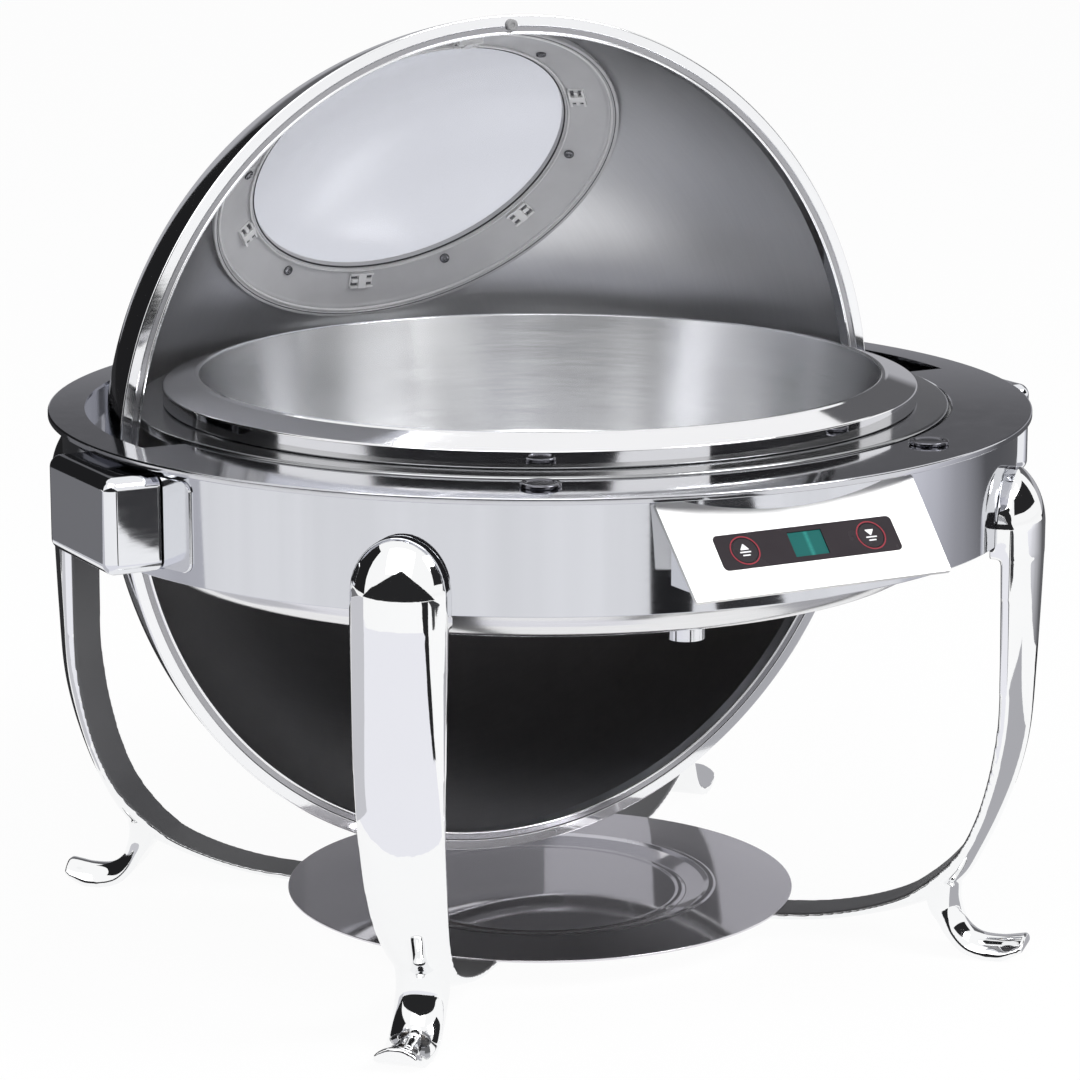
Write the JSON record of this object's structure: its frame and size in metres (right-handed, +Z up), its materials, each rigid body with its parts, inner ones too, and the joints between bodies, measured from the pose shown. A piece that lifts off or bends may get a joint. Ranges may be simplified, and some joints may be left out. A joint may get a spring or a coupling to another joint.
{
  "type": "round chafing dish",
  "caption": "Round roll-top chafing dish: half-sphere lid with a glass window, deep food pan over a water pan, sloping control panel, bowed legs with turned-out feet and a fuel tray.",
  "frame": {"origin": "on the floor, on the vertical axis of the ring and pans", "axes": "+Z up; the front with the control panel faces -Y; +X to the right, through the drive housing; the lid turns about the X direction"},
  "size_m": [0.53, 0.5229, 0.4658],
  "materials": {
    "polished_steel": "polished mirror stainless steel",
    "satin_steel": "satin brushed stainless steel",
    "lid_steel": "mirror outside, brushed inside",
    "panel_steel": "fine satin",
    "window_glass": "clear",
    "clear_plastic": "clear moulded plastic",
    "seal_rubber": "matt",
    "pad_steel": "dark polished",
    "display_black": "gloss",
    "screen_teal": "satin",
    "button_black": "gloss with a pale arrow",
    "ring_red": "gloss",
    "board_green": "matt",
    "drive_black": "matt moulded",
    "bearing_brass": "turned",
    "fastener_steel": "plain"
  },
  "bodies": {
    "frame": {"skirt": "polished_steel", "top_plate": "polished_steel", "pan_carrier": "satin_steel", "water_pan": "polished_steel", "drain_plug": "polished_steel", "pan_rest_ring": "polished_steel", "lid_rest_pads": "pad_steel", "pivot_pin_left": "polished_steel", "pin_bracket_left": "satin_steel", "bush_right": "bearing_brass", "gearbox": "drive_black", "motor": "satin_steel", "left_saddle": "polished_steel", "right_saddle": "polished_steel", "left_hinge_cover": "polished_steel", "right_drive_cover": "polished_steel", "power_inlet": "drive_black", "control_box": "polished_steel", "control_panel": "panel_steel", "display_window": "display_black", "lcd_screen": "screen_teal", "control_board": "board_green", "button_rings": "ring_red", "key_switches": "drive_black", "leg_front_right": "polished_steel", "leg_front_left": "polished_steel", "leg_rear_right": "polished_steel", "leg_rear_left": "polished_steel", "leg_bolts": "fastener_steel", "fuel_tray": "polished_steel", "tray_hub": "satin_steel", "hub_screws": "fastener_steel", "tray_screw": "fastener_steel"},
    "lid": {"lid_dome": "lid_steel", "lid_rim_trim": "polished_steel", "lid_bumper": "seal_rubber", "window_glass": "window_glass", "window_seal": "seal_rubber", "window_frame": "clear_plastic", "window_screws": "fastener_steel", "window_clips": "clear_plastic", "lid_ear_left": "satin_steel", "lid_ear_right": "satin_steel", "ear_rivets": "fastener_steel", "bush_left": "bearing_brass", "drive_shaft": "polished_steel", "shaft_screws": "fastener_steel"},
    "food_pan": {"food_pan": "satin_steel"},
    "open_button": {"button_open": "button_black"},
    "close_button": {"button_close": "button_black"}
  },
  "joints": [
    {"name": "lid_hinge", "type": "hinge", "parent": "frame", "child": "lid", "pos_m": [0, 0, 0.246], "axis": [1, 0, 0], "range_deg": [-90, 90]},
    {"name": "food_pan_lift", "type": "slide", "parent": "frame", "child": "food_pan", "axis": [0, 0, 1], "range_m": [0, 0.03]},
    {"name": "open_press", "type": "slide", "parent": "frame", "child": "open_button", "axis": [0, 0.7278, -0.6858], "range_m": [0, 0.0008], "stiffness_N_per_m": 600, "springref_m": -0.0005},
    {"name": "close_press", "type": "slide", "parent": "frame", "child": "close_button", "axis": [0, 0.7278, -0.6858], "range_m": [0, 0.0008], "stiffness_N_per_m": 600, "springref_m": -0.0005}
  ]
}
